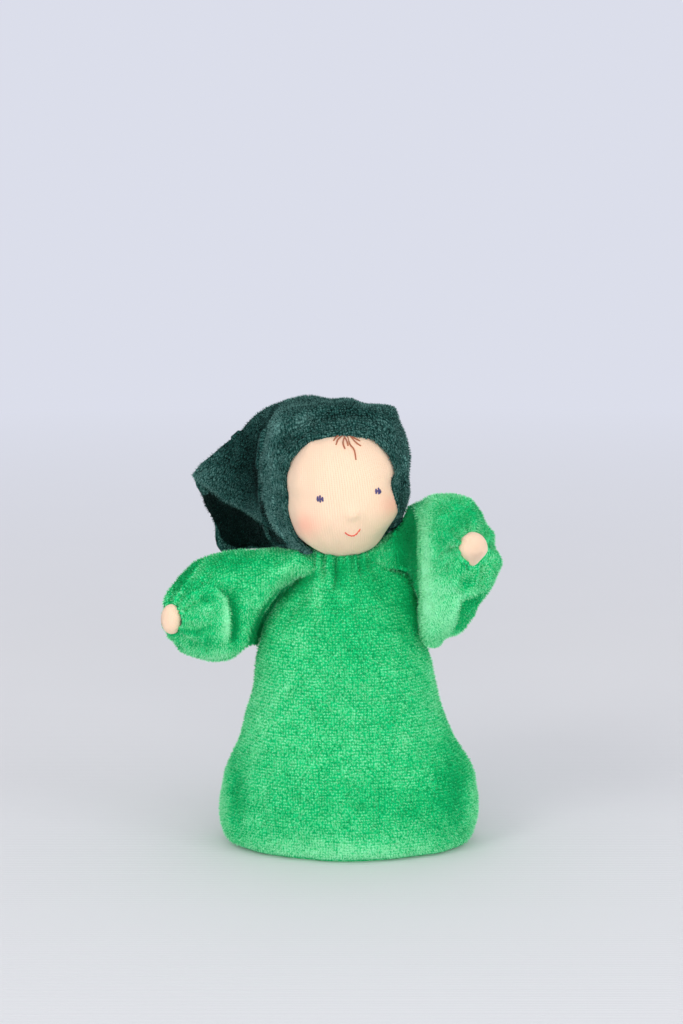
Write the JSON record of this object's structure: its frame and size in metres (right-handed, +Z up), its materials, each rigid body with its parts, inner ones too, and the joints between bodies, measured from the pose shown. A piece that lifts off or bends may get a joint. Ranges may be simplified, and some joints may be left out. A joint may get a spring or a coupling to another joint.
{
  "type": "waldorf doll",
  "caption": "Small standing cloth doll with a wool-filled gown, puffed sleeves, round jersey hands and a jersey head in a pointed hood.",
  "frame": {"origin": "middle of the flat oval base, on the surface that the doll stands on", "axes": "+Z up through the head, -Y the way the doll faces, +X the doll's own left"},
  "size_m": [0.0859, 0.0483, 0.1175],
  "materials": {
    "green_velour": "soft knit pile",
    "dark_velour": "soft knit pile",
    "jersey": "fine matt knit",
    "wool": "matt carded wool",
    "gauze": "matt open knit",
    "white_thread": "matt cotton thread",
    "green_thread": "matt cotton thread",
    "dark_thread": "matt cotton thread",
    "eye_thread": "satin embroidery thread",
    "mouth_thread": "satin embroidery thread",
    "forelock_thread": "satin embroidery thread"
  },
  "bodies": {
    "gown": {"gown_front": "green_velour", "gown_back": "green_velour", "gown_base": "green_velour", "body_wool": "wool", "left_side_seam": "green_thread", "right_side_seam": "green_thread", "base_seam": "green_thread", "collar_thread": "green_thread"},
    "neck": {"neck_roll": "wool", "neck_thread": "white_thread"},
    "head": {"head_skin": "jersey", "head_gauze": "gauze", "head_wool": "wool", "eye_line_thread": "white_thread", "nose_bead": "wool", "right_eye": "eye_thread", "left_eye": "eye_thread", "mouth": "mouth_thread", "forelock": "forelock_thread", "hood": "dark_velour", "hood_hem_thread": "dark_thread", "hood_back_seam": "dark_thread"},
    "right_arm": {"right_sleeve": "green_velour", "right_sleeve_wool": "wool", "right_hand": "jersey", "right_hand_wool": "wool", "right_wrist_thread": "green_thread"},
    "left_arm": {"left_sleeve": "green_velour", "left_sleeve_wool": "wool", "left_hand": "jersey", "left_hand_wool": "wool", "left_wrist_thread": "green_thread"}
  },
  "joints": [
    {"name": "head_turn", "type": "hinge", "parent": "gown", "child": "neck", "pos_m": [-0.0012, 0, 0.08], "axis": [0, 0, 1], "range_deg": [-25, 4]},
    {"name": "head_nod", "type": "hinge", "parent": "neck", "child": "head", "pos_m": [-0.0012, 0, 0.0945], "axis": [1, 0, 0], "range_deg": [-5, 8]},
    {"name": "right_arm_raise", "type": "hinge", "parent": "gown", "child": "right_arm", "pos_m": [-0.00898, 0, 0.073], "axis": [0, 1, 0], "range_deg": [-12, 12]},
    {"name": "left_arm_raise", "type": "hinge", "parent": "gown", "child": "left_arm", "pos_m": [0.01099, 0, 0.075], "axis": [0, -1, 0], "range_deg": [-12, 6]}
  ]
}
